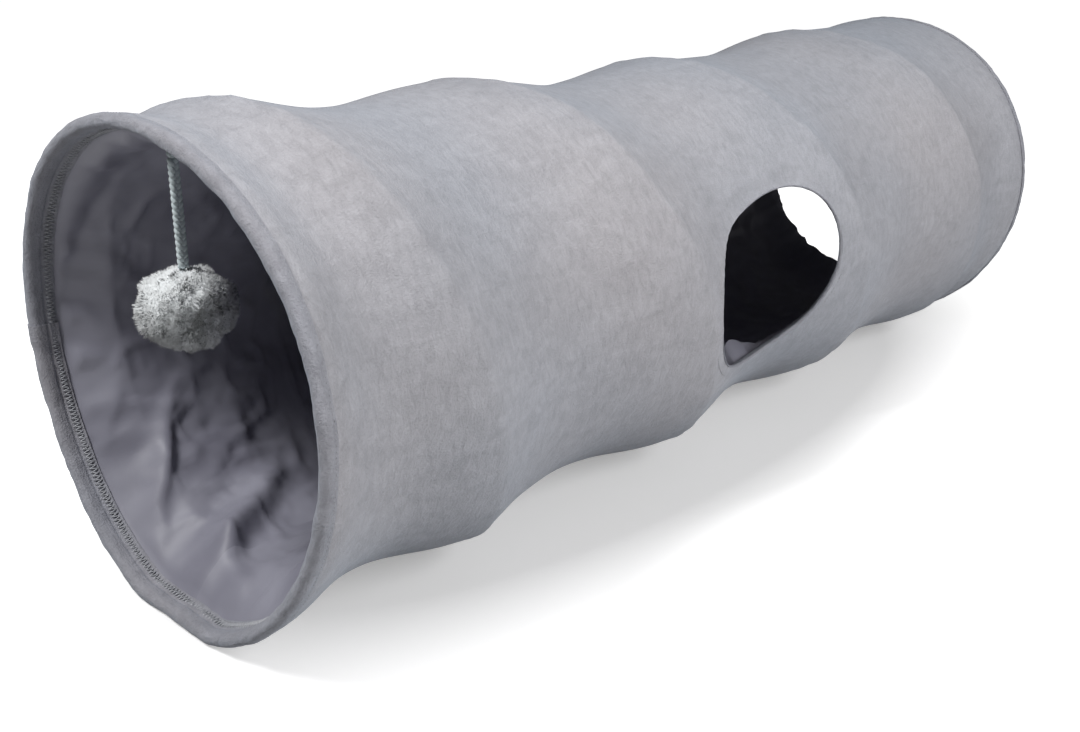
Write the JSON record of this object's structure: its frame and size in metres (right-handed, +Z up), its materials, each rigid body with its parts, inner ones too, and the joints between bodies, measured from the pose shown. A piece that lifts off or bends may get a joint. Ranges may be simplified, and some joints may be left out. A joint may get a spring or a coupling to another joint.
{
  "type": "cat tunnel",
  "caption": "Collapsible suede cat play tunnel held open by a sprung wire coil, with a side peephole and a pom-pom toy hanging in its front mouth.",
  "frame": {"origin": "centre of the base, on the floor, under the middle of the tunnel", "axes": "+X along the tunnel from the front mouth (with the toy) to the rear mouth, +Z up, the peephole faces -Y"},
  "size_m": [0.8867, 0.3125, 0.3103],
  "materials": {
    "suede": "soft grey faux suede with a short mottled nap",
    "lining": "dark violet-grey satin, crumpled",
    "film": "thin crackling film",
    "tape": "woven binding tape",
    "steel": "bright drawn spring wire",
    "ferrule": "crimped soft metal",
    "cord": "pale grey-green braided cord",
    "pompom": "white tufted yarn"
  },
  "bodies": {
    "front": {"outer_sleeve": "suede", "lining": "lining", "crinkle_film": "film", "coil_wire": "steel", "wire_channel": "tape", "peephole_facing": "suede", "front_hoop": "steel", "front_ferrule": "ferrule", "front_hem": "suede", "anchor_tab": "suede"},
    "rear": {"rear_hoop": "steel", "rear_ferrule": "ferrule", "rear_hem": "suede"},
    "hanger": {"cord_tack": "cord"},
    "toy": {"toy_cord": "cord", "cord_knot": "cord", "pompom": "pompom"}
  },
  "joints": [
    {"name": "collapse", "type": "slide", "parent": "front", "child": "rear", "axis": [1, 0, 0], "range_m": [-0.8, 0], "stiffness_N_per_m": 12, "springref_m": 0.25, "deforming": ["outer_sleeve", "lining", "crinkle_film", "coil_wire", "wire_channel", "peephole_facing"]},
    {"name": "toy_side_swing", "type": "hinge", "parent": "front", "child": "hanger", "pos_m": [-0.41655, -0.0117, 0.2873], "axis": [1, 0, 0], "range_deg": [-40, 40]},
    {"name": "toy_fore_aft_swing", "type": "hinge", "parent": "hanger", "child": "toy", "pos_m": [-0.41655, -0.0117, 0.2873], "axis": [0, 1, 0], "range_deg": [-55, 55]}
  ]
}
